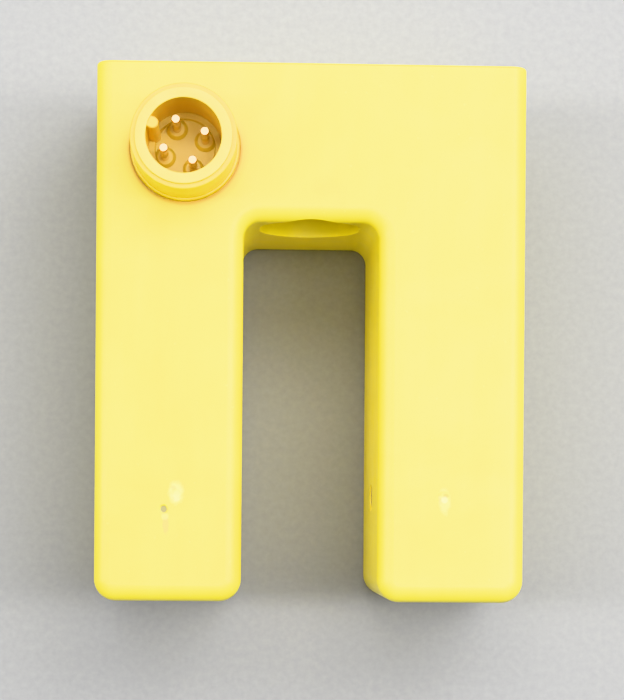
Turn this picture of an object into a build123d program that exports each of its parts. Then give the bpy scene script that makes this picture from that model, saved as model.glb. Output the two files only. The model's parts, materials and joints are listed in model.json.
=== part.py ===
"""Fork-type photoelectric sensor with an M12 plug connector, lying on its back.

The frame's origin is the centre of the footprint, on the back face. +Z points
out of the front face, where the connector is, and +Y points from the two legs
to the yoke that joins them. All lengths are in millimetres.
"""
import math
import os

from build123d import *

# Housing
BODY_WIDTH = 50.0
BODY_LENGTH = 62.0
BODY_DEPTH = 28.0
SIDE_DRAFT = 0.55
WALL = 2.0
EDGE_R = 1.8
LEG_CORNER_R = 2.5
RIM_R = 0.35
CAVITY_R = 0.5

# Slot between the legs
SLOT_WIDTH = 15.7
SLOT_MOUTH_WIDTH = 15.54
SLOT_DEPTH = 43.6
SLOT_CORNER_R = 2.0

# Mounting hole along the yoke, for an M6 cap screw driven from the slot
HOLE_BELOW_FACE = 7.65
RECESS_R = 5.9
RECESS_STRETCH = 1.9
RECESS_DEPTH = 6.5
RECESS_WALL = 0.8
SLEEVE_R = 4.2
SLEEVE_BORE_R = 3.2
BOSS_R = 6.0

# M12 connector
PLUG_X = -14.68
PLUG_FROM_LEG_ENDS = 51.87
BARREL_R = 6.0
BARREL_HEIGHT = 8.2
BARREL_BORE_R = 4.25
PILOT_R = 5.46
PILOT_HEIGHT = 0.4
LEAD_IN = 0.3
COLLAR_R = 6.22
COLLAR_HEIGHT = 0.9
# the collar stands in a shallow seat that leaves an open seam round it
COLLAR_SEAT_R = 6.45
COLLAR_SEAT_DEPTH = 0.4
FLANGE_R = 7.6
FLANGE_DEPTH = 2.0
SEAL_R = 0.35
SEAL_CENTRE_R = 6.9
SEAL_GROOVE_GAP = 0.1
KEY_ANGLE = 157.8
KEY_NOSE_R = 0.65
KEY_CENTRE_R = 3.75
KEY_BELOW_RIM = 0.25
FLOOR_BELOW_RIM = 9.4
CARRIER_R = 6.5
CARRIER_BASE_DEPTH = 2.0
CARRIER_RIM_R = 3.55
CARRIER_RIM_HEIGHT = 0.45
FOOT_R = 1.25
FOOT_TOP_R = 0.9
FOOT_HEIGHT = 0.55
FOOT_ROUNDING = 0.2
PIN_CIRCLE_R = 2.5
PIN_R = 0.5
PIN_TIP_R = 0.42
PIN_TIP_LENGTH = 0.12
PIN_TAIL_R = 0.4
PIN_BARB_R = 0.75
PIN_TIP_BELOW_RIM = 2.7
PIN_COUNT = 4

# Optics
BEAM_FROM_LEG_ENDS = 12.0
LED_R = 1.5
LED_FLANGE_R = 1.9
LED_FLANGE_THICKNESS = 0.9
LEAD_R = 0.25
LEAD_PITCH = 2.54
LEAD_X = 17.4
OPTIC_FRONT_X = 11.3
OPTIC_FLANGE_X = 15.0
HOLDER_HALF = 2.9
APERTURE_R = 1.0
WINDOW_R = 1.6
WINDOW_FLANGE_R = 2.3
WINDOW_FLANGE_THICKNESS = 0.35

# Circuit board
BOARD_BOTTOM = 11.0
BOARD_THICKNESS = 1.6
BOARD_HALF_WIDTH = 22.0
BOARD_CORNER_R = 0.8
RAIL_THICKNESS = 1.15
RAIL_END_Y = 16.0
TAIL_LENGTH = 0.8

# End cover, and what is set into it
COVER_RECESS = 0.4
COVER_THICKNESS = 2.0
BEAD_WIDTH = 0.7
BEAD_DEPTH = 1.0
PIPE_R = 1.5
PIPE_XS = {"output": 8.0, "power": 12.2}
PIPE_LENGTH_INSIDE = 2.6
PIPE_SHOULDER = 0.4
LIGHT_HALF_WIDTH = 1.5
LIGHT_DEPTH = 1.8
LIGHT_HEIGHT = 2.3
TRIMMER_X = 17.5
TRIMMER_HALF_WIDTH = 3.2
TRIMMER_DEPTH = 5.0
TRIMMER_HEIGHT = 6.6
ROTOR_DEPTH = 1.7
SPINDLE_R = 2.0
SPINDLE_FLANGE_R = 2.5
SPINDLE_BELOW_COVER = 0.3
HUB_R = 3.6
HUB_DEPTH = 2.8
RING_CENTRE_R = 1.68
RING_R = 0.32
RUNNING_GAP = 0.05

# Moulding marks on the front of each leg
MARK_X = 15.25
MARK_R = 0.7
MARK_DEPTH = 0.13

# Places that follow from the sizes above
YOKE_Y = BODY_LENGTH / 2
LEG_END_Y = -BODY_LENGTH / 2
SLOT_END_Y = LEG_END_Y + SLOT_DEPTH
HOLE_Z = BODY_DEPTH - HOLE_BELOW_FACE
RECESS_END_Y = SLOT_END_Y + RECESS_DEPTH
PLUG_Y = LEG_END_Y + PLUG_FROM_LEG_ENDS
RIM_Z = BODY_DEPTH + BARREL_HEIGHT
CARRIER_FLOOR_Z = RIM_Z - FLOOR_BELOW_RIM
FLANGE_Z = BODY_DEPTH - WALL - FLANGE_DEPTH
BOARD_TOP = BOARD_BOTTOM + BOARD_THICKNESS
BEAM_Y = LEG_END_Y + BEAM_FROM_LEG_ENDS
BEAM_Z = BOARD_TOP + 2.6
COVER_TOP_Y = YOKE_Y - COVER_RECESS
COVER_BOTTOM_Y = COVER_TOP_Y - COVER_THICKNESS
PIPE_Z = BOARD_TOP + 1.4
TRIMMER_Z = BOARD_TOP + 3.3
TRIMMER_FRONT_Y = COVER_BOTTOM_Y - 3.2
RING_GROOVE_Y = COVER_BOTTOM_Y - 0.9
HUB_Y = COVER_BOTTOM_Y - HUB_DEPTH

PARTS = "parts"


def half_width(y):
    """Outer half width of the drafted housing at the given y."""
    return BODY_WIDTH / 2 - SIDE_DRAFT * (YOKE_Y - y) / BODY_LENGTH


def slot_half_width(y):
    """Half width of the slot at the given y."""
    along = (SLOT_END_Y - y) / SLOT_DEPTH
    return (SLOT_WIDTH + (SLOT_MOUTH_WIDTH - SLOT_WIDTH) * along) / 2


def block(low, high):
    """A box between two opposite corners."""
    size = [b - a for a, b in zip(low, high)]
    corner = Align.MIN
    return Pos(*low) * Box(*size, align=(corner, corner, corner))


def rod(start, end, radius):
    """A round bar from one point to another."""
    axis = Vector(*end) - Vector(*start)
    place = Plane(origin=start, z_dir=axis)
    bar = Cylinder(radius, axis.length, align=(Align.CENTER, Align.CENTER, Align.MIN))
    return place * bar


def turned(profile, x=0.0, y=0.0):
    """A solid turned about the vertical line through x, y from (radius, z) points."""
    face = make_face(Plane.XZ * Polyline(*profile, close=True))
    return Pos(x, y, 0) * revolve(face, Axis.Z)


def turned_along_y(profile, x, z):
    """A solid turned about the line along Y through x, z from (radius, y) points."""
    face = make_face(Plane.XY * Polyline(*profile, close=True))
    return Pos(x, 0, z) * revolve(face, Axis.Y)


def fork_outline(inset, yoke_y):
    """The fork's plan outline, moved inwards by inset, up to yoke_y."""
    leg_y = LEG_END_Y + inset
    end_y = SLOT_END_Y + inset
    right = [
        (half_width(yoke_y) - inset, yoke_y),
        (half_width(leg_y) - inset, leg_y),
        (slot_half_width(leg_y) + inset, leg_y),
        (slot_half_width(end_y) + inset, end_y),
    ]
    left = [(-x, y) for x, y in reversed(right)]
    return make_face(Polyline(*right, *left, close=True))


def edges_of_faces_along_z(solid, skip_y):
    """The plan edges at the solid's lowest and highest z, without those at skip_y."""
    groups = solid.edges().group_by(Axis.Z)
    flat = groups[0] + groups[-1]
    return [edge for edge in flat if abs(edge.center().Y - skip_y) > 0.01]


def outer_fork():
    """The outside of the housing, rounded everywhere but at the yoke's open end."""
    plan = fork_outline(0.0, YOKE_Y)
    leg_corners = [v for v in plan.vertices() if v.Y < LEG_END_Y + 0.01]
    plan = fillet(leg_corners, LEG_CORNER_R)
    slot_corners = [v for v in plan.vertices() if abs(v.Y - SLOT_END_Y) < 0.01]
    plan = fillet(slot_corners, SLOT_CORNER_R)
    solid = extrude(plan, BODY_DEPTH)
    solid = fillet(edges_of_faces_along_z(solid, YOKE_Y), EDGE_R)
    rim = [edge for edge in solid.edges() if edge.bounding_box().min.Y > YOKE_Y - 0.001]
    return fillet(rim, RIM_R)


def cavity():
    """The space inside the housing, open at the yoke's end."""
    over = 1.0
    plan = fork_outline(WALL, YOKE_Y + over)
    solid = Pos(0, 0, WALL) * extrude(plan, BODY_DEPTH - 2 * WALL)
    return fillet(edges_of_faces_along_z(solid, YOKE_Y + over), CAVITY_R)


def boss(radius, start_y, end_y, centre_z):
    """A boss with a round underside that runs up into the front wall."""
    top_z = BODY_DEPTH - WALL / 2
    post = rod((0, start_y, centre_z), (0, end_y, centre_z), radius)
    return post + block((-radius, start_y, centre_z), (radius, end_y, top_z))


def screw_recess():
    """The recess for the screw's head: round above and below, and taller than it is wide."""
    start_y = SLOT_END_Y - 1
    low_z = HOLE_Z - RECESS_STRETCH / 2
    high_z = HOLE_Z + RECESS_STRETCH / 2
    solid = block((-RECESS_R, start_y, low_z), (RECESS_R, RECESS_END_Y, high_z))
    solid += rod((0, start_y, low_z), (0, RECESS_END_Y, low_z), RECESS_R)
    return solid + rod((0, start_y, high_z), (0, RECESS_END_Y, high_z), RECESS_R)


def board_rails():
    """Ribs on the outer walls that hold the board's long edges."""
    start_y = LEG_END_Y + WALL + 0.5
    ribs = []
    for low_z in (BOARD_BOTTOM - RUNNING_GAP - RAIL_THICKNESS, BOARD_TOP + RUNNING_GAP):
        for side in (-1, 1):
            near = side * (BOARD_HALF_WIDTH - 0.8)
            far = side * (half_width(LEG_END_Y) - WALL / 2)
            low = (min(near, far), start_y, low_z)
            high = (max(near, far), RAIL_END_Y, low_z + RAIL_THICKNESS)
            ribs.append(block(low, high))
    return ribs


def housing():
    """The moulded yellow housing: one deep shell with both legs and the yoke."""
    solid = outer_fork() - cavity()
    recess_boss_r = RECESS_R + RECESS_WALL
    recess_boss_z = HOLE_Z - RECESS_STRETCH / 2
    solid += boss(recess_boss_r, SLOT_END_Y + WALL / 2, RECESS_END_Y + WALL, recess_boss_z)
    solid += boss(BOSS_R, RECESS_END_Y, YOKE_Y, HOLE_Z)
    for rib in board_rails():
        solid += rib
    solid -= screw_recess()
    solid -= rod((0, RECESS_END_Y - 1, HOLE_Z), (0, YOKE_Y + 1, HOLE_Z), SLEEVE_R)
    hole_bottom = BODY_DEPTH - 2 * WALL
    solid -= rod((PLUG_X, PLUG_Y, hole_bottom), (PLUG_X, PLUG_Y, BODY_DEPTH + 1), BARREL_R + RUNNING_GAP)
    seat_z = BODY_DEPTH - COLLAR_SEAT_DEPTH
    solid -= rod((PLUG_X, PLUG_Y, seat_z), (PLUG_X, PLUG_Y, BODY_DEPTH + 1), COLLAR_SEAT_R)
    for side in (-1, 1):
        inside = (side * (SLOT_WIDTH / 2 - 1), BEAM_Y, BEAM_Z)
        outside = (side * (SLOT_WIDTH / 2 + WALL + 1), BEAM_Y, BEAM_Z)
        solid -= rod(inside, outside, WINDOW_R)
        ball_r = (MARK_R**2 + MARK_DEPTH**2) / (2 * MARK_DEPTH)
        ball_z = BODY_DEPTH - MARK_DEPTH + ball_r
        solid -= Pos(side * MARK_X, BEAM_Y, ball_z) * Sphere(ball_r)
    return solid


def mounting_sleeve():
    """The steel sleeve that takes the mounting screw's load."""
    outside = rod((0, RECESS_END_Y, HOLE_Z), (0, YOKE_Y, HOLE_Z), SLEEVE_R)
    return outside - rod((0, RECESS_END_Y - 1, HOLE_Z), (0, YOKE_Y + 1, HOLE_Z), SLEEVE_BORE_R)


def key_rib(bottom_z, top_z):
    """The coding rib inside the connector's barrel."""
    height = top_z - bottom_z
    nose = Pos(KEY_CENTRE_R, 0, 0) * Circle(KEY_NOSE_R)
    reach = (BARREL_BORE_R + PILOT_R) / 2 - KEY_CENTRE_R
    root = Pos(KEY_CENTRE_R + reach / 2, 0, 0) * Rectangle(reach, 2 * KEY_NOSE_R)
    rib = extrude(nose + root, height)
    return Pos(PLUG_X, PLUG_Y, bottom_z) * Rot(0, 0, KEY_ANGLE) * rib


def connector_shell():
    """The barrel that the mating plug goes over, with its flange inside the wall."""
    wall_z = BODY_DEPTH - WALL
    shoulder_z = RIM_Z - PILOT_HEIGHT
    groove_in = SEAL_CENTRE_R - SEAL_R - SEAL_GROOVE_GAP
    groove_out = SEAL_CENTRE_R + SEAL_R + SEAL_GROOVE_GAP
    groove_z = wall_z - 2 * SEAL_R
    profile = [
        (BARREL_BORE_R, FLANGE_Z),
        (FLANGE_R, FLANGE_Z),
        (FLANGE_R, wall_z),
        (groove_out, wall_z),
        (groove_out, groove_z),
        (groove_in, groove_z),
        (groove_in, wall_z),
        (BARREL_R, wall_z),
        (BARREL_R, BODY_DEPTH - COLLAR_SEAT_DEPTH),
        (COLLAR_R, BODY_DEPTH - COLLAR_SEAT_DEPTH),
        (COLLAR_R, BODY_DEPTH + COLLAR_HEIGHT),
        (BARREL_R, BODY_DEPTH + COLLAR_HEIGHT),
        (BARREL_R, shoulder_z - LEAD_IN),
        (PILOT_R, shoulder_z),
        (PILOT_R, RIM_Z),
        (BARREL_BORE_R, RIM_Z),
    ]
    return turned(profile, PLUG_X, PLUG_Y) + key_rib(CARRIER_FLOOR_Z, RIM_Z - KEY_BELOW_RIM)


def connector_seal():
    """The O-ring between the connector's flange and the front wall."""
    return Pos(PLUG_X, PLUG_Y, BODY_DEPTH - WALL - SEAL_R) * Torus(SEAL_CENTRE_R, SEAL_R)


def pin_places():
    """The four contacts' places, 45 degrees either side of the key and opposite."""
    places = []
    for index in range(PIN_COUNT):
        angle = math.radians(KEY_ANGLE - 45 - 90 * index)
        places.append((PLUG_X + PIN_CIRCLE_R * math.cos(angle), PLUG_Y + PIN_CIRCLE_R * math.sin(angle)))
    return places


def contact_pin(x, y):
    """One contact: a plug end, a barb inside the carrier and a tail in the board."""
    tip_z = RIM_Z - PIN_TIP_BELOW_RIM
    tail_z = BOARD_BOTTOM - TAIL_LENGTH
    barb_z = FLANGE_Z - 0.4
    profile = [
        (0, tail_z),
        (PIN_TAIL_R, tail_z),
        (PIN_TAIL_R, barb_z),
        (PIN_BARB_R, barb_z),
        (PIN_BARB_R, barb_z + 0.9),
        (PIN_R, barb_z + 1.2),
        (PIN_R, tip_z - PIN_TIP_LENGTH),
        (PIN_TIP_R, tip_z),
        (0, tip_z),
    ]
    return turned(profile, x, y)


def contact_foot(x, y):
    """The raised foot round one contact, with a rounded upper edge."""
    top_z = CARRIER_FLOOR_Z + FOOT_HEIGHT
    profile = [
        (0, CARRIER_FLOOR_Z - FOOT_HEIGHT),
        (FOOT_R, CARRIER_FLOOR_Z - FOOT_HEIGHT),
        (FOOT_R, CARRIER_FLOOR_Z),
        (FOOT_TOP_R, top_z),
        (0, top_z),
    ]
    foot = turned(profile, x, y)
    upper_edge = foot.edges().group_by(Axis.Z)[-1]
    return fillet(upper_edge, FOOT_ROUNDING)


def contact_carrier():
    """The insert that holds the contacts, with a raised rim and a foot at each contact."""
    rim_z = CARRIER_FLOOR_Z + CARRIER_RIM_HEIGHT
    bottom_z = FLANGE_Z - CARRIER_BASE_DEPTH
    fit_r = BARREL_BORE_R - 0.01
    profile = [
        (0, bottom_z),
        (CARRIER_R, bottom_z),
        (CARRIER_R, FLANGE_Z),
        (fit_r, FLANGE_Z),
        (fit_r, rim_z),
        (CARRIER_RIM_R, rim_z),
        (CARRIER_RIM_R - 0.15, CARRIER_FLOOR_Z),
        (0, CARRIER_FLOOR_Z),
    ]
    solid = turned(profile, PLUG_X, PLUG_Y)
    for x, y in pin_places():
        solid += contact_foot(x, y)
    solid -= key_rib(CARRIER_FLOOR_Z, RIM_Z)
    for x, y in pin_places():
        solid -= contact_pin(x, y)
    return solid


def circuit_board():
    """The fork-shaped board, with holes for the contacts' tails."""
    top_y = TRIMMER_FRONT_Y + 0.3
    leg_y = LEG_END_Y + WALL + 1
    inner_x = slot_half_width(SLOT_END_Y) + WALL + 0.5
    inner_y = SLOT_END_Y + WALL + 0.6
    right = [(BOARD_HALF_WIDTH, top_y), (BOARD_HALF_WIDTH, leg_y), (inner_x, leg_y), (inner_x, inner_y)]
    left = [(-x, y) for x, y in reversed(right)]
    plan = make_face(Polyline(*right, *left, close=True))
    plan = fillet(plan.vertices(), BOARD_CORNER_R)
    solid = Pos(0, 0, BOARD_BOTTOM) * extrude(plan, BOARD_THICKNESS)
    for x, y in pin_places():
        solid -= rod((x, y, BOARD_BOTTOM - 1), (x, y, BOARD_TOP + 1), PIN_TAIL_R)
    for x, y in lead_places():
        solid -= rod((x, y, BOARD_BOTTOM - 1), (x, y, BOARD_TOP + 1), LEAD_R)
    return solid


def lead_places():
    """Where the leads of the emitter and the receiver go through the board."""
    return [
        (side * LEAD_X, BEAM_Y + step * LEAD_PITCH / 2)
        for side in (-1, 1)
        for step in (-1, 1)
    ]


def optic(side):
    """A 3 mm domed emitter or receiver with two bent leads, on the given side."""
    front = side * OPTIC_FRONT_X
    flange = side * OPTIC_FLANGE_X
    dome = side * (OPTIC_FRONT_X + LED_R)
    solid = rod((dome, BEAM_Y, BEAM_Z), (flange, BEAM_Y, BEAM_Z), LED_R)
    solid += Pos(dome, BEAM_Y, BEAM_Z) * Sphere(LED_R)
    flange_back = flange + side * LED_FLANGE_THICKNESS
    solid += rod((flange, BEAM_Y, BEAM_Z), (flange_back, BEAM_Y, BEAM_Z), LED_FLANGE_R)
    for step in (-1, 1):
        y = BEAM_Y + step * LEAD_PITCH / 2
        bend = (side * LEAD_X, y, BEAM_Z)
        solid += rod((flange + side * 0.5, y, BEAM_Z), bend, LEAD_R)
        solid += Pos(*bend) * Sphere(LEAD_R)
        solid += rod(bend, (side * LEAD_X, y, BOARD_BOTTOM - TAIL_LENGTH), LEAD_R)
    return solid


def optic_holder(side):
    """The opaque block that lines an optic up with its window and narrows the beam."""
    inner_x = slot_half_width(BEAM_Y) + WALL + 0.4
    low_x = min(side * inner_x, side * OPTIC_FLANGE_X)
    high_x = max(side * inner_x, side * OPTIC_FLANGE_X)
    low = (low_x, BEAM_Y - HOLDER_HALF, BOARD_TOP)
    solid = block(low, (high_x, BEAM_Y + HOLDER_HALF, BEAM_Z + HOLDER_HALF))
    long_edges = solid.edges().filter_by(Axis.X).group_by(Axis.Z)[-1]
    solid = chamfer(long_edges, 0.5)
    open_end = (side * (OPTIC_FLANGE_X + 1), BEAM_Y, BEAM_Z)
    solid -= rod((side * (inner_x - 1), BEAM_Y, BEAM_Z), open_end, APERTURE_R)
    pocket_x = side * (OPTIC_FRONT_X - 0.1)
    return solid - rod((pocket_x, BEAM_Y, BEAM_Z), open_end, LED_R + 0.02)


def optic_window(side):
    """The round window in a leg's slot wall, with a small flange inside."""
    outer_x = side * (slot_half_width(BEAM_Y) + 0.06)
    wall_x = side * (slot_half_width(BEAM_Y) + WALL)
    inner_x = wall_x + side * WINDOW_FLANGE_THICKNESS
    solid = rod((outer_x, BEAM_Y, BEAM_Z), (inner_x, BEAM_Y, BEAM_Z), WINDOW_R)
    flange_x = wall_x + side * 0.02
    return solid + rod((flange_x, BEAM_Y, BEAM_Z), (inner_x, BEAM_Y, BEAM_Z), WINDOW_FLANGE_R)


def cover_section():
    """The end cover's section across Y: a rectangle with a notch for the boss."""
    half_x = half_width(COVER_BOTTOM_Y) - WALL - RUNNING_GAP
    low_z = WALL + RUNNING_GAP
    high_z = BODY_DEPTH - WALL - RUNNING_GAP
    middle_z = (low_z + high_z) / 2
    plate = Pos(0, middle_z, 0) * RectangleRounded(2 * half_x, high_z - low_z, CAVITY_R)
    notch_r = BOSS_R + RUNNING_GAP
    notch = Pos(0, HOLE_Z, 0) * Circle(notch_r)
    notch += Pos(0, HOLE_Z + notch_r, 0) * Rectangle(2 * notch_r, 2 * notch_r)
    return plate - notch


def along_y(section, start_y, end_y):
    """An X, Z section drawn as X, Y, extruded along Y between two places."""
    place = Plane(origin=(0, start_y, 0), x_dir=(-1, 0, 0), z_dir=(0, 1, 0))
    flipped = mirror(section, about=Plane.YZ)
    return extrude(place * flipped, end_y - start_y)


def end_cover():
    """The plate that closes the yoke's open end."""
    section = cover_section()
    step_y = COVER_TOP_Y - BEAD_DEPTH
    solid = along_y(section, COVER_BOTTOM_Y, step_y)
    solid += along_y(offset(section, -BEAD_WIDTH), step_y, COVER_TOP_Y)
    solid += rod((TRIMMER_X, HUB_Y, TRIMMER_Z), (TRIMMER_X, COVER_TOP_Y, TRIMMER_Z), HUB_R)
    hole = SPINDLE_R + RUNNING_GAP
    solid -= rod((TRIMMER_X, HUB_Y - 1, TRIMMER_Z), (TRIMMER_X, YOKE_Y, TRIMMER_Z), hole)
    for x in PIPE_XS.values():
        solid -= rod((x, COVER_BOTTOM_Y - 1, PIPE_Z), (x, YOKE_Y, PIPE_Z), PIPE_R)
    return solid


def sealing_bead():
    """The bead of sealing resin between the cover's edge and the housing."""
    section = cover_section()
    ring = section - offset(section, -BEAD_WIDTH)
    return along_y(ring, COVER_TOP_Y - BEAD_DEPTH, COVER_TOP_Y - 0.05)


def light_pipe(x):
    """A clear rod from a status light to the cover's face, with a shoulder inside."""
    end_y = COVER_BOTTOM_Y - PIPE_LENGTH_INSIDE
    shoulder_y = COVER_BOTTOM_Y - 2 * PIPE_SHOULDER
    profile = [
        (0, end_y),
        (PIPE_R, end_y),
        (PIPE_R, shoulder_y),
        (PIPE_R + PIPE_SHOULDER, shoulder_y),
        (PIPE_R + PIPE_SHOULDER, COVER_BOTTOM_Y),
        (PIPE_R, COVER_BOTTOM_Y),
        (PIPE_R, COVER_TOP_Y - 0.1),
        (PIPE_R - 0.3, COVER_TOP_Y + 0.1),
        (0, COVER_TOP_Y + 0.15),
    ]
    return turned_along_y(profile, x, PIPE_Z)


def status_light(x):
    """A side-looking status light on the board, behind its light pipe."""
    front_y = COVER_BOTTOM_Y - PIPE_LENGTH_INSIDE - 0.1
    low = (x - LIGHT_HALF_WIDTH, front_y - LIGHT_DEPTH, BOARD_TOP)
    return block(low, (x + LIGHT_HALF_WIDTH, front_y, BOARD_TOP + LIGHT_HEIGHT))


def trimmer_body():
    """The potentiometer's case on the board, with a round pocket for its rotor."""
    low = (TRIMMER_X - TRIMMER_HALF_WIDTH, TRIMMER_FRONT_Y - TRIMMER_DEPTH, BOARD_TOP)
    high = (TRIMMER_X + TRIMMER_HALF_WIDTH, TRIMMER_FRONT_Y, BOARD_TOP + TRIMMER_HEIGHT)
    solid = block(low, high)
    pocket_y = TRIMMER_FRONT_Y - ROTOR_DEPTH - 2 * RUNNING_GAP
    pocket_r = SPINDLE_R + RUNNING_GAP
    return solid - rod((TRIMMER_X, pocket_y, TRIMMER_Z), (TRIMMER_X, YOKE_Y, TRIMMER_Z), pocket_r)


def trimmer_rotor():
    """The potentiometer's turning disc, with a slot for the spindle's blade."""
    back_y = TRIMMER_FRONT_Y - ROTOR_DEPTH - RUNNING_GAP
    front_y = TRIMMER_FRONT_Y - RUNNING_GAP
    solid = rod((TRIMMER_X, back_y, TRIMMER_Z), (TRIMMER_X, front_y, TRIMMER_Z), SPINDLE_R)
    slot = block((-3, front_y - 0.9, -0.35), (3, front_y + 1, 0.35))
    return solid - Pos(TRIMMER_X, 0, TRIMMER_Z) * slot


def adjuster_spindle():
    """The sensitivity adjuster in the cover, turned from outside with a screwdriver."""
    flange_y = TRIMMER_FRONT_Y + RUNNING_GAP
    bearing_y = HUB_Y - RUNNING_GAP
    top_y = COVER_TOP_Y - SPINDLE_BELOW_COVER
    groove_r = RING_CENTRE_R - RING_R
    groove_end_y = RING_GROOVE_Y + 2 * RING_R + RUNNING_GAP
    lead_in = 0.2
    profile = [
        (0, flange_y),
        (SPINDLE_FLANGE_R, flange_y),
        (SPINDLE_FLANGE_R, bearing_y),
        (SPINDLE_R, bearing_y),
        (SPINDLE_R, RING_GROOVE_Y),
        (groove_r, RING_GROOVE_Y),
        (groove_r, groove_end_y),
        (SPINDLE_R, groove_end_y),
        (SPINDLE_R, top_y - lead_in),
        (SPINDLE_R - lead_in, top_y),
        (0, top_y),
    ]
    solid = turned_along_y(profile, TRIMMER_X, TRIMMER_Z)
    driver_slot = block((-3, top_y - 1.0, -0.4), (3, top_y + 1, 0.4))
    solid -= Pos(TRIMMER_X, 0, TRIMMER_Z) * driver_slot
    blade = block((-1.4, flange_y - 0.8, -0.3), (1.4, flange_y + 0.1, 0.3))
    return solid + Pos(TRIMMER_X, 0, TRIMMER_Z) * blade


def adjuster_seal():
    """The O-ring in the spindle's groove."""
    y = RING_GROOVE_Y + RING_R + RUNNING_GAP / 2
    return Pos(TRIMMER_X, y, TRIMMER_Z) * Rot(90, 0, 0) * Torus(RING_CENTRE_R, RING_R)


def chip(x, y, length, width, height, along_x=True, below=False):
    """A block-shaped component standing on, or hanging under, the board."""
    half_x = (length if along_x else width) / 2
    half_y = (width if along_x else length) / 2
    low_z = BOARD_BOTTOM - height if below else BOARD_TOP
    body = block((x - half_x, y - half_y, low_z), (x + half_x, y + half_y, low_z + height))
    upright = body.edges().filter_by(Axis.Z)
    return chamfer(upright, 0.08 * min(length, width))


def controller_chip():
    """The controller under the board, with a row of leads along each side."""
    y = 21.5
    length = 9.9
    lead_count = 8
    pitch = 1.27
    solid = chip(0, y, length, 3.9, 1.5, below=True)
    for index in range(lead_count):
        x = pitch * (index - (lead_count - 1) / 2)
        for side in (-1, 1):
            near_y = y + side * 1.9
            far_y = y + side * 3.0
            low = (x - 0.2, min(near_y, far_y), BOARD_BOTTOM - 0.25)
            high = (x + 0.2, max(near_y, far_y), BOARD_BOTTOM)
            solid += block(low, high)
    return solid


def regulator():
    """The voltage regulator, with a heat tab and three leads."""
    x = 16.2
    y = 4.0
    solid = chip(x, y, 6.5, 3.5, 1.7)
    solid += block((x - 1.5, y + 1.7, BOARD_TOP), (x + 1.5, y + 3.4, BOARD_TOP + 0.3))
    for step in (-1, 0, 1):
        lead_x = x + 2.3 * step
        solid += block((lead_x - 0.35, y - 3.3, BOARD_TOP), (lead_x + 0.35, y - 1.7, BOARD_TOP + 0.3))
    return solid


def row_of_chips(count, start, step, size, along_x=True, below=False):
    """Equal separate components in a straight row."""
    return [
        chip(start[0] + step[0] * i, start[1] + step[1] * i, *size, along_x, below)
        for i in range(count)
    ]


def write(name, shape):
    """One STEP file for a node, from one solid or a group of separate solids."""
    solids = shape if isinstance(shape, list) else [shape]
    found = [solid for item in solids for solid in item.solids()]
    whole = found[0] if len(found) == 1 else Compound(children=found)
    export_step(whole, os.path.join(PARTS, name + ".step"))


def main():
    """Writes every node."""
    os.makedirs(PARTS, exist_ok=True)
    write("housing_body", housing())
    write("mounting_sleeve", mounting_sleeve())
    write("connector_shell", connector_shell())
    write("connector_seal", connector_seal())
    write("contact_carrier", contact_carrier())
    for number, (x, y) in enumerate(pin_places(), start=1):
        write(f"contact_pin_{number}", contact_pin(x, y))
    write("circuit_board", circuit_board())
    for side, name in ((-1, "emitter"), (1, "receiver")):
        write(f"{name}_diode", optic(side))
        write(f"{name}_holder", optic_holder(side))
        write(f"{name}_window", optic_window(side))
    write("end_cover", end_cover())
    write("sealing_bead", sealing_bead())
    for name, x in PIPE_XS.items():
        write(f"{name}_light_pipe", light_pipe(x))
        write(f"{name}_light", status_light(x))
    write("trimmer_body", trimmer_body())
    write("trimmer_rotor", trimmer_rotor())
    write("adjuster_spindle", adjuster_spindle())
    write("adjuster_seal", adjuster_seal())
    write("controller_chip", controller_chip())
    write("voltage_regulator", regulator())
    write("output_transistors", row_of_chips(2, (-18, 11), (4.2, 0), (2.9, 1.6, 1.1)))
    write("protection_diodes", row_of_chips(3, (-16.2, 6), (0, -4.2), (4.6, 2.7, 2.2)))
    write("tantalum_capacitors", row_of_chips(2, (16.2, -4), (0, -6), (7.3, 4.3, 2.9)))
    write("ceramic_capacitors", row_of_chips(6, (-19.8, -7), (0, -1.9), (2.0, 1.2, 0.9)))
    write("chip_resistors", row_of_chips(8, (-12.4, -6), (0, -1.3), (1.6, 0.8, 0.5)))


main()
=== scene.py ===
"""Looks for the fork photoelectric sensor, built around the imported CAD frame. All lengths are in metres."""
import json
import math

import bmesh
import bpy
from mathutils import Matrix, Vector


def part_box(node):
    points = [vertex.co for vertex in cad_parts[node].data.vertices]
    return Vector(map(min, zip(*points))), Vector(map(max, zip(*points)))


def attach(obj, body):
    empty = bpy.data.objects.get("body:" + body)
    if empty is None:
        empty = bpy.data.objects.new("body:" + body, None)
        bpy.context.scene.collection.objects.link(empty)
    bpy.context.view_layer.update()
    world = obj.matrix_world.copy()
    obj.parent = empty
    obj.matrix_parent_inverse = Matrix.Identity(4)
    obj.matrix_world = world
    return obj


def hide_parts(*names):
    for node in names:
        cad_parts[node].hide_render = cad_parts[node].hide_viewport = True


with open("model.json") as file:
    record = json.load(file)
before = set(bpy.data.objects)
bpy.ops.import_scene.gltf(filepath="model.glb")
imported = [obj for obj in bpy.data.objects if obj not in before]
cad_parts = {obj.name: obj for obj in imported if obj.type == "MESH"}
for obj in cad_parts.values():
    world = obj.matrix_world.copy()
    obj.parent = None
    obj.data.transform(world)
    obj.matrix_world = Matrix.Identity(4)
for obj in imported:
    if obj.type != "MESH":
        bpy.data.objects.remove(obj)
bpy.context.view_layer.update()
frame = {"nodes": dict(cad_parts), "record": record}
MM = 0.001
PER_MM = 1000.0
PER_CM = 100.0
SCENE = bpy.context.scene

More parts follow.
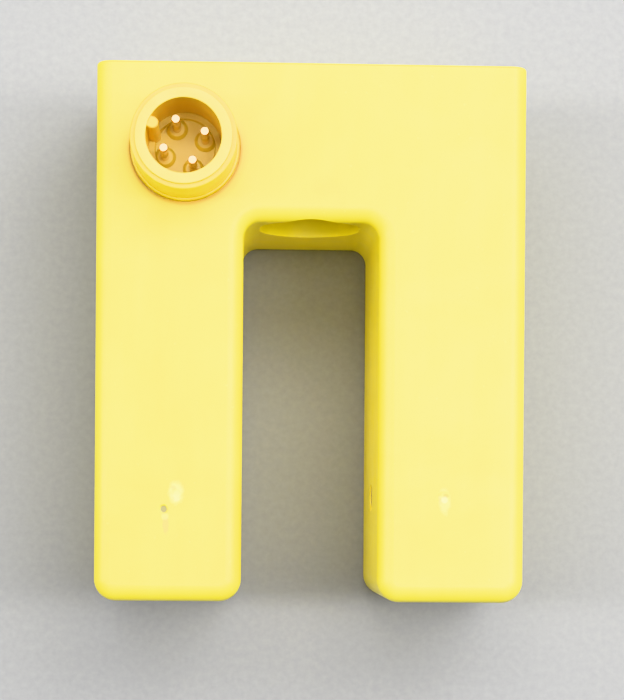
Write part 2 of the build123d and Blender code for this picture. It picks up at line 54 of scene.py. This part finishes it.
HOUSING_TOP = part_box("housing_body")[1][2]
SHELL_LOW, SHELL_HIGH = (Vector(corner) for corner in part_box("connector_shell"))
PLUG_X = (SHELL_LOW.x + SHELL_HIGH.x) / 2
PLUG_Y = (SHELL_LOW.y + SHELL_HIGH.y) / 2
RIM_Z = SHELL_HIGH.z
PIN_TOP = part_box("contact_pin_1")[1][2]


# ---------------------------------------------------------------- material tools

def start_material(name, roughness, metallic=0.0, **sockets):
    """A new material with its shader, the node tree and object coordinates."""
    material = bpy.data.materials.new(name)
    material.use_nodes = True
    tree = material.node_tree
    shader = tree.nodes["Principled BSDF"]
    shader.inputs["Roughness"].default_value = roughness
    shader.inputs["Metallic"].default_value = metallic
    for socket, value in sockets.items():
        shader.inputs[socket.replace("_", " ")].default_value = value
    place = tree.nodes.new("ShaderNodeTexCoord").outputs["Object"]
    return material, tree, shader, place


def noise(tree, place, scale, detail=4.0, roughness=0.55, distortion=0.0):
    """A noise texture; scale is in features per metre."""
    node = tree.nodes.new("ShaderNodeTexNoise")
    node.inputs["Scale"].default_value = scale
    node.inputs["Detail"].default_value = detail
    node.inputs["Roughness"].default_value = roughness
    node.inputs["Distortion"].default_value = distortion
    tree.links.new(place, node.inputs["Vector"])
    return node.outputs["Fac"]


def stretched(tree, place, scale):
    """Coordinates scaled along each axis, so that a pattern runs along the smallest one."""
    node = tree.nodes.new("ShaderNodeMapping")
    node.inputs["Scale"].default_value = scale
    tree.links.new(place, node.inputs["Vector"])
    return node.outputs["Vector"]


def ramp(tree, factor, stops):
    """A colour ramp from (position, colour) stops."""
    node = tree.nodes.new("ShaderNodeValToRGB")
    band = node.color_ramp
    while len(band.elements) < len(stops):
        band.elements.new(0.5)
    for element, (position, colour) in zip(band.elements, stops):
        element.position = position
        element.color = (*colour, 1.0)
    tree.links.new(factor, node.inputs["Fac"])
    return node.outputs["Color"]


def grey(value):
    return (value, value, value)


def maths(tree, operation, first, second=0.0):
    """One sum on two values, each a socket or a number."""
    node = tree.nodes.new("ShaderNodeMath")
    node.operation = operation
    for socket, value in zip(node.inputs, (first, second)):
        if isinstance(value, (int, float)):
            socket.default_value = value
        else:
            tree.links.new(value, socket)
    return node.outputs["Value"]


def mix(tree, mask, under, over, blend="MIX"):
    """One colour over another where the mask is white; a colour is a socket or a triple."""
    node = tree.nodes.new("ShaderNodeMixRGB")
    node.blend_type = blend
    tree.links.new(mask, node.inputs["Fac"])
    for name, value in (("Color1", under), ("Color2", over)):
        if isinstance(value, tuple):
            node.inputs[name].default_value = (*value, 1.0)
        else:
            tree.links.new(value, node.inputs[name])
    return node.outputs["Color"]


def bump(tree, height, shader, distance, onto=None):
    """Raises the surface by a height pattern, over an earlier bump if there is one."""
    node = tree.nodes.new("ShaderNodeBump")
    node.inputs["Distance"].default_value = distance
    tree.links.new(height, node.inputs["Height"])
    if onto is not None:
        tree.links.new(onto, node.inputs["Normal"])
    tree.links.new(node.outputs["Normal"], shader.inputs["Normal"])
    return node.outputs["Normal"]


def uneven_gloss(tree, shader, pattern, roughness, duller=0.06, shinier=0.05):
    """Lets the roughness wander either side of its level, along a pattern."""
    level = ramp(tree, pattern, [(0.3, grey(roughness - shinier)), (0.7, grey(roughness + duller))])
    tree.links.new(level, shader.inputs["Roughness"])


def patch(tree, place, centre, size, ragged):
    """A mask that is white inside an ellipsoid with a ragged edge."""
    shift = tree.nodes.new("ShaderNodeMapping")
    shift.vector_type = "TEXTURE"
    shift.inputs["Location"].default_value = centre
    shift.inputs["Scale"].default_value = size
    tree.links.new(place, shift.inputs["Vector"])
    length = tree.nodes.new("ShaderNodeVectorMath")
    length.operation = "LENGTH"
    tree.links.new(shift.outputs["Vector"], length.inputs[0])
    edge = maths(tree, "MULTIPLY", maths(tree, "SUBTRACT", noise(tree, place, 1400.0, 3.0), 0.5), ragged)
    distance = maths(tree, "ADD", length.outputs["Value"], edge)
    return ramp(tree, maths(tree, "MULTIPLY", distance, 0.5), [(0.3, grey(1.0)), (0.5, grey(0.0))])


def tint(base, amount):
    """A colour made lighter or darker by a share."""
    return tuple(min(1.0, channel * (1 + amount)) for channel in base)


# ---------------------------------------------------------------- materials

def moulded(name, base, roughness, grain=0.012 * MM, variation=0.05, **sockets):
    """Moulded plastic: faint cloudy colour, uneven gloss and a fine grain."""
    material, tree, shader, place = start_material(name, roughness, **sockets)
    clouds = noise(tree, place, 160.0, 3.0, 0.5)
    colour = ramp(tree, clouds, [(0.3, tint(base, -variation)), (0.7, tint(base, variation))])
    tree.links.new(colour, shader.inputs["Base Color"])
    uneven_gloss(tree, shader, noise(tree, place, 900.0, 4.0), roughness)
    bump(tree, noise(tree, place, 9000.0, 3.0), shader, grain)
    return material


HOUSING_YELLOW = (0.93, 0.805, 0.062)
PALE_YELLOW = (0.97, 0.92, 0.30)
WHITENED = (0.98, 0.95, 0.50)
TAN = (0.40, 0.31, 0.09)
PEACH = (0.90, 0.66, 0.13)
CHIP_OLIVE = (0.22, 0.19, 0.06)
# painted shade: the colour of the darker ring round the connector's foot
SEAM_SHADE_COLOUR = (0.60, 0.34, 0.025)
# colour, strength, centre across and along the legs, half width and half height, raggedness; in millimetres
SURFACE_MARKS = [
    (PALE_YELLOW, 0.8, (-15.2, -18.7), (1.0, 1.5), 0.7),
    (WHITENED, 0.35, (-15.1, -19.0), (0.55, 0.8), 0.7),
    (TAN, 0.5, (-15.5, -18.15), (0.34, 0.28), 0.9),
    (PALE_YELLOW, 0.6, (15.35, -19.5), (0.8, 1.7), 0.7),
    (TAN, 0.7, (15.5, -18.85), (0.42, 0.26), 0.9),
    (TAN, 0.5, (14.88, -19.4), (0.2, 0.5), 0.6),
    (WHITENED, 0.65, (15.36, -19.3), (0.45, 0.45), 0.3),
    (PEACH, 0.45, (-16.35, -22.3), (0.4, 1.3), 0.9),
    (PALE_YELLOW, 0.5, (-16.45, -21.4), (0.5, 0.5), 0.7),
    (TAN, 0.18, (1.6, 16.6), (2.2, 1.3), 1.2),
    (TAN, 0.12, (3.4, 15.2), (0.7, 1.6), 1.0),
]
MARK_DEPTH = 0.4 * MM
CHIP_PLACE = (-16.62, -20.6)
CHIP_SIZE = (0.52, 0.58)
CHIP_DEPTH = 0.08 * MM
# radius round the connector's line in centimetres, and how strong the painted shade on the face is there
SEAM_SHADE = [(0.61, 0.0), (0.63, 0.9), (0.655, 0.75), (0.675, 0.25), (0.75, 0.0)]
# painted light: how much the housing's tone rises, turning paler, over a metre across and along the legs
LIGHT_DRIFT_ACROSS = 3.2
LIGHT_DRIFT_ALONG = 2.0
STREAKS_SHARE = 0.35
CLOUDS_SHARE = 0.65


def on_face(across_and_along, height):
    """A point on the front face, or the size of something on it, from millimetres and a height in metres."""
    return (across_and_along[0] * MM, across_and_along[1] * MM, height)


def painted_seam_shade(tree, across):
    """A mask of painted shade along the lower side of the seam round the connector's collar."""
    x = maths(tree, "SUBTRACT", across.outputs["X"], PLUG_X)
    y = maths(tree, "SUBTRACT", across.outputs["Y"], PLUG_Y)
    squares = maths(tree, "ADD", maths(tree, "MULTIPLY", x, x), maths(tree, "MULTIPLY", y, y))
    reach = maths(tree, "MULTIPLY", maths(tree, "SQRT", squares), PER_CM)
    line = ramp(tree, reach, [(radius, grey(shade_strength)) for radius, shade_strength in SEAM_SHADE])
    # full strength below the connector's middle, none from 3.5 mm above it
    along = maths(tree, "ADD", maths(tree, "MULTIPLY", y, PER_CM), 0.5)
    below = ramp(tree, along, [(0.5, grey(1.0)), (0.85, grey(0.0))])
    return maths(tree, "MULTIPLY", line, below)


def housing_plastic():
    """The housing's satin plastic, with flow streaks, smudges, pale moulding marks and one chip, a painted
    drift of light across the face and painted shade round the connector's collar.
    """
    roughness = 0.34
    material, tree, shader, place = start_material("housing_plastic", roughness)
    streaks = noise(tree, stretched(tree, place, (260.0, 20.0, 60.0)), 1.0, 4.0, 0.6)
    clouds = noise(tree, place, 75.0, 5.0, 0.6, 0.6)
    speckle = noise(tree, place, 1500.0, 2.0)
    across = tree.nodes.new("ShaderNodeSeparateXYZ")
    tree.links.new(place, across.inputs["Vector"])
    # painted light: the colour drifts paler towards +x and +y across the flat face
    light_drift_across = maths(tree, "MULTIPLY", across.outputs["X"], LIGHT_DRIFT_ACROSS)
    light_drift_along = maths(tree, "MULTIPLY", across.outputs["Y"], LIGHT_DRIFT_ALONG)
    light_drift = maths(tree, "ADD", light_drift_across, light_drift_along)
    streaks_part = maths(tree, "MULTIPLY", streaks, STREAKS_SHARE)
    clouds_part = maths(tree, "MULTIPLY", clouds, CLOUDS_SHARE)
    tone = maths(tree, "ADD", maths(tree, "ADD", streaks_part, clouds_part), light_drift)
    colour = ramp(tree, tone, [
        (0.32, (0.925, 0.785, 0.042)),
        (0.5, HOUSING_YELLOW),
        (0.68, (0.94, 0.82, 0.09)),
    ])
    specks = ramp(tree, speckle, [(0.68, grey(0.0)), (0.8, grey(0.3))])
    colour = mix(tree, specks, colour, PALE_YELLOW)
    for shade, strength, centre, size, ragged in SURFACE_MARKS:
        mark = patch(tree, place, on_face(centre, HOUSING_TOP), on_face(size, MARK_DEPTH), ragged)
        colour = mix(tree, maths(tree, "MULTIPLY", mark, strength), colour, shade)
    # painted shade round the connector's collar, darkest on its lower side
    colour = mix(tree, painted_seam_shade(tree, across), colour, SEAM_SHADE_COLOUR)
    chip = patch(tree, place, on_face(CHIP_PLACE, HOUSING_TOP), on_face(CHIP_SIZE, MARK_DEPTH), 0.5)
    colour = mix(tree, chip, colour, CHIP_OLIVE)
    tree.links.new(colour, shader.inputs["Base Color"])
    uneven_gloss(tree, shader, noise(tree, place, 260.0, 6.0, 0.65), roughness, duller=0.05)
    grain = bump(tree, noise(tree, place, 8000.0, 3.0), shader, 0.01 * MM)
    bump(tree, maths(tree, "MULTIPLY", chip, -1.0), shader, CHIP_DEPTH, grain)
    return material


PIN_END = 0.3 * MM
SHANK_ROUGHNESS = 0.14
END_ROUGHNESS = 0.42


def pin_metal():
    """Gold over brass: a glossy shaft painted darker than gold, as painted shade from the dark bore it
    reflects, with a duller machined end.
    """
    material, tree, shader, place = start_material("gold_plating", SHANK_ROUGHNESS, 1.0)
    height = tree.nodes.new("ShaderNodeSeparateXYZ")
    tree.links.new(place, height.inputs["Vector"])
    up_the_end = maths(tree, "SUBTRACT", height.outputs["Z"], PIN_TOP - PIN_END)
    end = ramp(tree, maths(tree, "MULTIPLY", up_the_end, PER_MM), [(0.26, grey(0.0)), (0.285, grey(1.0))])
    scuffs = noise(tree, place, 2600.0, 4.0)
    # painted shade: the shaft's colour is darker than gold
    shaded_shank = ramp(tree, scuffs, [(0.3, (0.66, 0.40, 0.10)), (0.7, (0.78, 0.50, 0.16))])
    colour = mix(tree, end, shaded_shank, (0.93, 0.76, 0.42))
    tree.links.new(colour, shader.inputs["Base Color"])
    level = ramp(tree, end, [(0.0, grey(SHANK_ROUGHNESS)), (1.0, grey(END_ROUGHNESS))])
    tree.links.new(level, shader.inputs["Roughness"])
    bump(tree, scuffs, shader, 0.004 * MM)
    return material


def zinc():
    """Zinc plate over turned steel, with fine rings left by the tool."""
    material, tree, shader, place = start_material("zinc_plating", 0.3, 1.0)
    bloom = noise(tree, place, 500.0, 5.0, 0.6)
    colour = ramp(tree, bloom, [(0.3, (0.50, 0.51, 0.50)), (0.7, (0.66, 0.66, 0.63))])
    tree.links.new(colour, shader.inputs["Base Color"])
    level = ramp(tree, bloom, [(0.3, grey(0.24)), (0.7, grey(0.42))])
    tree.links.new(level, shader.inputs["Roughness"])
    rings = noise(tree, stretched(tree, place, (200.0, 9000.0, 200.0)), 1.0, 2.0)
    bump(tree, rings, shader, 0.01 * MM)
    return material


POLISHED = 0.08


def clear(name, base, weight):
    """Clear plastic with faint clouding and a polished face."""
    clearness = {"Transmission_Weight": weight, "IOR": 1.49}
    return moulded(name, base, POLISHED, grain=0.003 * MM, variation=0.03, **clearness)


def barrel_plastic():
    """The connector's plastic: deep yellow walls, with a painted sheen that makes the rim top and the
    shoulder's edge paler.
    """
    roughness = 0.34
    material, tree, shader, place = start_material("connector_plastic", roughness)
    clouds = noise(tree, place, 420.0, 4.0, 0.55)
    walls = ramp(tree, clouds, [(0.35, (0.93, 0.70, 0.022)), (0.65, (0.94, 0.74, 0.036))])
    faces = ramp(tree, clouds, [(0.35, (0.94, 0.77, 0.105)), (0.65, (0.96, 0.80, 0.14))])
    height = tree.nodes.new("ShaderNodeSeparateXYZ")
    tree.links.new(place, height.inputs["Vector"])
    below_rim = maths(tree, "MULTIPLY", maths(tree, "SUBTRACT", RIM_Z, height.outputs["Z"]), PER_MM)
    # painted sheen: paler colour on the rim top and on the shoulder's rounded edge
    pale = ramp(tree, below_rim, [(0.06, grey(1.0)), (0.14, grey(0.0))])
    shoulder = ramp(tree, below_rim, [
        (0.405, grey(0.0)),
        (0.45, grey(0.45)),
        (0.5, grey(0.45)),
        (0.56, grey(0.0)),
    ])
    colour = mix(tree, maths(tree, "ADD", pale, shoulder), walls, faces)
    tree.links.new(colour, shader.inputs["Base Color"])
    uneven_gloss(tree, shader, noise(tree, place, 1300.0, 4.0), roughness)
    rings = noise(tree, stretched(tree, place, (300.0, 300.0, 5000.0)), 1.0, 2.0)
    bump(tree, rings, shader, 0.008 * MM)
    return material


# painted shade: the darker, more orange colour of the bore's shaded inner wall
BORE_SHADE_YELLOW = (0.82, 0.56, 0.085)

materials = {
    "housing_yellow": housing_plastic(),
    "cover_yellow": moulded("cover_plastic", tint(HOUSING_YELLOW, -0.05), 0.46, grain=0.02 * MM),
    "connector_yellow": barrel_plastic(),
    "carrier_amber": moulded("carrier_plastic", (0.62, 0.46, 0.085), 0.4, grain=0.01 * MM, variation=0.08),
    "sealing_resin": moulded("sealing_resin", (0.55, 0.40, 0.05), 0.14, grain=0.02 * MM, variation=0.12),
    "seal_rubber": moulded("seal_rubber", (0.012, 0.012, 0.012), 0.6),
    "board_green": moulded("solder_mask", (0.01, 0.10, 0.03), 0.25, grain=0.006 * MM, variation=0.15),
    "diode_clear": clear("clear_epoxy", (0.80, 0.85, 0.95), 0.6),
    "diode_dark": moulded("filter_epoxy", (0.02, 0.01, 0.03), 0.12),
    "window_amber": moulded("window_plastic", (0.72, 0.42, 0.03), 0.12, grain=0.002 * MM, variation=0.1),
    "pipe_clear": clear("light_pipe_plastic", (0.85, 0.88, 0.84), 0.55),
    "light_green": moulded("green_light_plastic", (0.25, 0.70, 0.28), 0.25),
    "light_yellow": moulded("yellow_light_plastic", (0.90, 0.62, 0.06), 0.25),
    "trimmer_blue": moulded("trimmer_plastic", (0.02, 0.06, 0.35), 0.35),
    "rotor_white": moulded("rotor_plastic", (0.80, 0.80, 0.74), 0.4),
    "spindle_dark": moulded("spindle_plastic", (0.03, 0.03, 0.033), 0.4, grain=0.01 * MM, variation=0.2),
    "component_black": moulded("chip_epoxy", (0.02, 0.02, 0.022), 0.5, grain=0.02 * MM, variation=0.2),
    "capacitor_orange": moulded("capacitor_epoxy", (0.70, 0.30, 0.03), 0.45, grain=0.02 * MM, variation=0.1),
    "ceramic_tan": moulded("ceramic", (0.42, 0.30, 0.18), 0.5, grain=0.02 * MM, variation=0.1),
    "contact_gold": pin_metal(),
    "zinc_steel": zinc(),
}
slot_of = {part["node"]: part["material_slot"] for part in frame["record"]["subparts"]}
for node, piece in frame["nodes"].items():
    piece.data.materials.clear()
    piece.data.materials.append(materials[slot_of[node]])


# ---------------------------------------------------------------- connector barrel

COLUMNS = 200
KEY_COLUMNS = 32
BORE_R = 4.25 * MM
PILOT_R = 5.46 * MM
PILOT_HEIGHT = 0.4 * MM
COLLAR_R = 6.22 * MM
COLLAR_HEIGHT = 0.9 * MM
COLLAR_SEAT_DEPTH = 0.4 * MM
BARREL_R = 6.0 * MM
FLANGE_R = 7.6 * MM
FLANGE_DEPTH = 2.0 * MM
GROOVE_IN = 6.45 * MM
GROOVE_OUT = 7.35 * MM
GROOVE_DEPTH = 0.7 * MM
RIM_EDGE = 0.12 * MM
SHOULDER_EDGE = 0.16 * MM
KEY_NOSE_R = 0.65 * MM
KEY_CENTRE_R = 3.75 * MM
KEY_BELOW_RIM = 0.25 * MM
KEY_FROM_FIRST_CONTACT = math.radians(45)
FOOT_HEIGHT = 0.55 * MM
WELD = 0.0002 * MM
SHARP_FROM = math.radians(40)
KEY_HALF_ANGLE = math.asin(KEY_NOSE_R / BORE_R)


def key_angle():
    """The coding key's direction, an eighth of a turn on from the first contact."""
    low, high = (Vector(corner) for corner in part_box("contact_pin_1"))
    middle = (low + high) / 2
    return math.atan2(middle.y - PLUG_Y, middle.x - PLUG_X) + KEY_FROM_FIRST_CONTACT


def column_angle(column):
    """The angle of a column from the key's direction; the columns are closest on the key."""
    index = column if column <= COLUMNS / 2 else column - COLUMNS
    share = abs(index) / (KEY_COLUMNS / 2)
    if share <= 1:
        angle = share * KEY_HALF_ANGLE
    else:
        rest = (abs(index) - KEY_COLUMNS / 2) / (COLUMNS / 2 - KEY_COLUMNS / 2)
        angle = KEY_HALF_ANGLE + rest * (math.pi - KEY_HALF_ANGLE)
    return math.copysign(angle, index)


def ring(radius, z):
    """One round row of points."""
    return [(radius, column_angle(column), z) for column in range(COLUMNS + 1)]


def soft_edge(edge, centre_r, centre_z, start, end, steps=4):
    """Rows over a rounded edge, from one angle to another in the barrel's section."""
    rows = []
    for step in range(steps + 1):
        angle = math.radians(start + (end - start) * step / steps)
        rows.append(ring(centre_r + edge * math.cos(angle), centre_z + edge * math.sin(angle)))
    return rows


def key_row(z, nose):
    """A row round the bore that goes round the key's nose."""
    quarter = nose * math.pi / 2
    side = math.sqrt(BORE_R**2 - nose**2) - KEY_CENTRE_R
    points = ring(BORE_R, z)
    for index in range(-KEY_COLUMNS // 2, KEY_COLUMNS // 2 + 1):
        run = abs(index) / (KEY_COLUMNS / 2) * (quarter + side)
        if run < quarter:
            x, y = KEY_CENTRE_R - nose * math.cos(run / nose), nose * math.sin(run / nose)
        else:
            x, y = KEY_CENTRE_R + run - quarter, nose
        points[index % COLUMNS] = (math.hypot(x, y), math.copysign(math.atan2(y, x), index), z)
    points[COLUMNS] = points[0]
    return points


def loft(name, rows):
    """A closed mesh piece from rows of (radius, angle, z) points round the barrel's line."""
    turn = key_angle()
    cast = bmesh.new()
    grid = []
    for row in rows:
        points = [(PLUG_X + r * math.cos(turn + a), PLUG_Y + r * math.sin(turn + a), z) for r, a, z in row]
        grid.append([cast.verts.new(point) for point in points])
    for row, above in zip(grid, grid[1:] + grid[:1]):
        for column in range(COLUMNS):
            cast.faces.new((row[column], row[column + 1], above[column + 1], above[column]))
    bmesh.ops.remove_doubles(cast, verts=cast.verts, dist=WELD)
    bmesh.ops.dissolve_degenerate(cast, dist=WELD, edges=cast.edges)
    bmesh.ops.recalc_face_normals(cast, faces=cast.faces)
    mesh = bpy.data.meshes.new(name)
    cast.to_mesh(mesh)
    cast.free()
    mesh.shade_smooth()
    mesh.set_sharp_from_angle(angle=SHARP_FROM)
    piece = bpy.data.objects.new(name, mesh)
    SCENE.collection.objects.link(piece)
    return piece


def add_barrel():
    """The connector's shell: flange, collar, barrel, pilot rim, bore and coding key."""
    wall_z = SHELL_LOW.z + FLANGE_DEPTH
    groove_z = wall_z - GROOVE_DEPTH
    collar_z = HOUSING_TOP + COLLAR_HEIGHT
    shoulder_z = RIM_Z - PILOT_HEIGHT
    seat_z = HOUSING_TOP - COLLAR_SEAT_DEPTH
    floor_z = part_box("contact_carrier")[1][2] - FOOT_HEIGHT
    key_z = RIM_Z - KEY_BELOW_RIM
    flange_and_seat = [
        (BORE_R, SHELL_LOW.z),
        (FLANGE_R, SHELL_LOW.z),
        (FLANGE_R, wall_z),
        (GROOVE_OUT, wall_z),
        (GROOVE_OUT, groove_z),
        (GROOVE_IN, groove_z),
        (GROOVE_IN, wall_z),
        (BARREL_R, wall_z),
        (BARREL_R, seat_z),
        (COLLAR_R, seat_z),
    ]
    rows = [ring(radius, z) for radius, z in flange_and_seat]
    rows += soft_edge(RIM_EDGE, COLLAR_R - RIM_EDGE, collar_z - RIM_EDGE, 0, 90)
    rows.append(ring(BARREL_R, collar_z))
    rows += soft_edge(SHOULDER_EDGE, BARREL_R - SHOULDER_EDGE, shoulder_z - SHOULDER_EDGE, 0, 90)
    rows.append(ring(PILOT_R, shoulder_z))
    rows += soft_edge(RIM_EDGE, PILOT_R - RIM_EDGE, RIM_Z - RIM_EDGE, 0, 90)
    rows += soft_edge(RIM_EDGE, BORE_R + RIM_EDGE, RIM_Z - RIM_EDGE, 90, 180)
    rows += [
        ring(BORE_R, key_z),
        key_row(key_z, KEY_NOSE_R - RIM_EDGE),
        key_row(key_z - RIM_EDGE, KEY_NOSE_R),
        key_row(floor_z, KEY_NOSE_R),
        ring(BORE_R, floor_z),
    ]
    barrel = loft("plug_barrel", rows)
    barrel.data.materials.append(materials["connector_yellow"])
    # painted shade: the bore's inner wall and the key's sides below the rim get the darker, more orange
    # colour
    barrel.data.materials.append(moulded("bore_plastic_painted_shade", BORE_SHADE_YELLOW, 0.36, grain=0.006 * MM))
    margin = RIM_EDGE / 4
    for face in barrel.data.polygons:
        middle = face.center
        reach = math.hypot(middle.x - PLUG_X, middle.y - PLUG_Y)
        if reach < BORE_R + margin and middle.z < key_z - margin:
            face.material_index = 1
    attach(barrel, "sensor")
    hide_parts("connector_shell")


add_barrel()


# ---------------------------------------------------------------- stage, light and camera

FLOOR_HALF = 1.5
SURROUND = 0.06
CAMERA_LENS = 106.63
CAMERA_PLACE = (-0.00894, -0.02113, 0.26425)
CAMERA_PITCH, CAMERA_YAW, CAMERA_ROLL = 4.554, -2.184, 0.607
AIM = (0, 0, 0.02)
LIGHT_DISTANCE = 0.8
STUDIO = [
    # name, degrees clockwise from +Y, degrees up, width and height, watts
    ("axis", 0, 88, (0.35, 0.35), 0.8),
    ("overhead", 0, 86, (0.9, 0.9), 1.3),
    ("left_fill", 270, 20, (0.3, 0.6), 0.25),
    ("left_softbox", 270, 38, (0.3, 0.6), 0.8),
    ("left_strip", 270, 51, (0.07, 0.7), 3.0),
    ("left_high", 270, 70, (0.25, 0.6), 0.4),
    ("top_fill", 0, 32, (0.5, 0.3), 0.4),
    ("top_softbox", 0, 62, (0.4, 0.3), 2.9),
    ("top_right_softbox", 45, 50, (0.4, 0.4), 4.4),
    ("top_left_softbox", 315, 50, (0.4, 0.4), 1.1),
    ("right_strip", 90, 51, (0.07, 0.7), 2.4),
    ("right_high", 90, 70, (0.25, 0.6), 3.6),
]


def add_floor():
    """A plain pale floor under the sensor."""
    mesh = bpy.data.meshes.new("floor")
    corners = [(x * FLOOR_HALF, y * FLOOR_HALF, 0) for x, y in ((-1, -1), (1, -1), (1, 1), (-1, 1))]
    mesh.from_pydata(corners, [], [(0, 1, 2, 3)])
    floor = bpy.data.objects.new("floor", mesh)
    SCENE.collection.objects.link(floor)
    material, tree, shader, place = start_material("floor_paper", 0.85)
    fibres = noise(tree, place, 1200.0, 5.0)
    colour = ramp(tree, fibres, [(0.3, (0.25, 0.25, 0.255)), (0.7, (0.28, 0.28, 0.28))])
    tree.links.new(colour, shader.inputs["Base Color"])
    floor.data.materials.append(material)


def add_light(name, azimuth, elevation, size, power):
    """A rectangular softbox, aimed at the sensor."""
    data = bpy.data.lights.new(name, "AREA")
    data.shape = "RECTANGLE"
    data.size, data.size_y = size
    data.energy = power
    lamp = bpy.data.objects.new(name, data)
    SCENE.collection.objects.link(lamp)
    turn, rise = math.radians(azimuth), math.radians(elevation)
    direction = Vector((math.sin(turn) * math.cos(rise), math.cos(turn) * math.cos(rise), math.sin(rise)))
    place = direction * LIGHT_DISTANCE
    lamp.location = place
    lamp.rotation_euler = (Vector(AIM) - place).to_track_quat("-Z", "Y").to_euler()


def add_world():
    """An even pale surround."""
    world = bpy.data.worlds.new("surround")
    world.use_nodes = True
    background = world.node_tree.nodes["Background"]
    background.inputs["Color"].default_value = (1, 1, 1, 1)
    background.inputs["Strength"].default_value = SURROUND
    SCENE.world = world


def add_camera():
    """The camera, nearly straight above the front face."""
    data = bpy.data.cameras.new("camera")
    data.lens = CAMERA_LENS
    camera = bpy.data.objects.new("camera", data)
    SCENE.collection.objects.link(camera)
    place = Matrix.Translation(CAMERA_PLACE)
    pitch = Matrix.Rotation(math.radians(CAMERA_PITCH), 4, "X")
    yaw = Matrix.Rotation(math.radians(CAMERA_YAW), 4, "Y")
    roll = Matrix.Rotation(math.radians(CAMERA_ROLL), 4, "Z")
    camera.matrix_world = place @ pitch @ yaw @ roll
    SCENE.camera = camera


add_floor()
for name, azimuth, elevation, size, power in STUDIO:
    add_light(name, azimuth, elevation, size, power)
add_world()
add_camera()
SCENE.view_settings.view_transform = "Khronos PBR Neutral"
